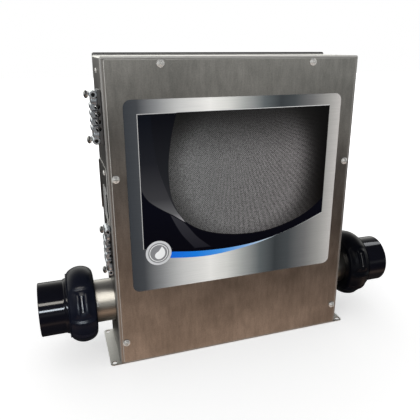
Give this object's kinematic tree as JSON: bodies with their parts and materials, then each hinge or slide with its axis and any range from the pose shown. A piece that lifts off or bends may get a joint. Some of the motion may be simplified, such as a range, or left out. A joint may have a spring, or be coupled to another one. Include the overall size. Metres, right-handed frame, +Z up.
{
  "type": "spa control pack with flow-through heater",
  "caption": "Upright stainless control box with a printed front cover, a heater tube through its foot, a pipe union at each end of the tube and two cord clamps on the left wall.",
  "frame": {"origin": "middle of the underside of the base plate", "axes": "+X to the right seen from the front and along the heater tube, -Y out of the front cover, +Z up"},
  "size_m": [0.5184, 0.1017, 0.397],
  "materials": {
    "stainless": "brushed",
    "tube_steel": "polished",
    "screw_steel": "plated",
    "clamp_zinc": "die cast, plated",
    "label_film": "printed film",
    "black_gloss": "glossy",
    "nut_black": "moulded",
    "ring_rubber": "matt",
    "board_green": "satin",
    "white_plastic": "satin",
    "relay_black": "satin",
    "transformer_iron": "varnished",
    "copper": "bright",
    "brass": "turned",
    "lead_black": "satin",
    "lead_red": "satin"
  },
  "bodies": {
    "chassis": {"base_plate": "stainless", "wrap_shell": "stainless", "back_panel": "stainless", "side_plate": "stainless", "side_rivet_upper": "screw_steel", "side_rivet_lower": "screw_steel", "heater_tube": "tube_steel", "heating_element": "tube_steel", "element_gland_left": "brass", "element_gland_right": "brass", "element_terminal_left": "brass", "element_terminal_right": "brass", "bus_strap_left": "copper", "bus_strap_right": "copper", "sensor_probe_left": "lead_black", "sensor_probe_right": "lead_black", "heater_flange_left": "tube_steel", "heater_flange_right": "tube_steel", "tube_saddle_left": "stainless", "tube_saddle_right": "stainless", "tube_strap_left": "stainless", "tube_strap_right": "stainless", "main_board": "board_green", "board_standoff_1": "white_plastic", "board_standoff_2": "white_plastic", "board_standoff_3": "white_plastic", "board_standoff_4": "white_plastic", "transformer": "transformer_iron", "relay_1": "relay_black", "relay_2": "relay_black", "relay_3": "relay_black", "terminal_block": "white_plastic", "fuse_block": "relay_black", "supply_lead_line": "lead_red", "supply_lead_neutral": "white_plastic", "upper_clamp_base": "clamp_zinc", "lower_clamp_base": "clamp_zinc"},
    "cover": {"front_cover": "stainless", "front_label": "label_film", "cover_screw_1": "screw_steel", "cover_screw_2": "screw_steel", "cover_screw_3": "screw_steel", "cover_screw_4": "screw_steel", "cover_screw_5": "screw_steel", "cover_screw_6": "screw_steel"},
    "nut_left": {"union_nut_left_front": "nut_black", "union_nut_left_back": "nut_black"},
    "nut_right": {"union_nut_right_front": "nut_black", "union_nut_right_back": "nut_black"},
    "tail_left": {"tailpiece_left": "black_gloss", "union_ring_left": "ring_rubber"},
    "tail_right": {"tailpiece_right": "black_gloss", "union_ring_right": "ring_rubber"},
    "upper_clamp": {"upper_clamp_bar": "clamp_zinc", "upper_clamp_screw_top": "screw_steel", "upper_clamp_screw_bottom": "screw_steel"},
    "lower_clamp": {"lower_clamp_bar": "clamp_zinc", "lower_clamp_screw_top": "screw_steel", "lower_clamp_screw_bottom": "screw_steel"}
  },
  "joints": [
    {"name": "cover_off", "type": "slide", "parent": "chassis", "child": "cover", "axis": [0, -1, 0], "range_m": [0, 0.09]},
    {"name": "nut_left_turn", "type": "hinge", "parent": "chassis", "child": "nut_left", "pos_m": [-0.2, 0.00335, 0.0747], "axis": [1, 0, 0], "range_deg": [0, 1080]},
    {"name": "tail_left_slide", "type": "slide", "parent": "chassis", "child": "tail_left", "axis": [-1, 0, 0], "range_m": [0, 0.0121]},
    {"name": "nut_right_turn", "type": "hinge", "parent": "chassis", "child": "nut_right", "pos_m": [0.2, 0.00335, 0.0747], "axis": [-1, 0, 0], "range_deg": [0, 1080]},
    {"name": "tail_right_slide", "type": "slide", "parent": "chassis", "child": "tail_right", "axis": [1, 0, 0], "range_m": [0, 0.0121]},
    {"name": "upper_clamp_open", "type": "slide", "parent": "chassis", "child": "upper_clamp", "axis": [-1, 0, 0], "range_m": [0, 0.008]},
    {"name": "lower_clamp_open", "type": "slide", "parent": "chassis", "child": "lower_clamp", "axis": [-1, 0, 0], "range_m": [0, 0.006]}
  ],
  "couplings": [
    {"joint": "tail_left_slide", "follows": "nut_left_turn", "m_per_rad": 0.00063662},
    {"joint": "tail_right_slide", "follows": "nut_right_turn", "m_per_rad": 0.00063662}
  ]
}
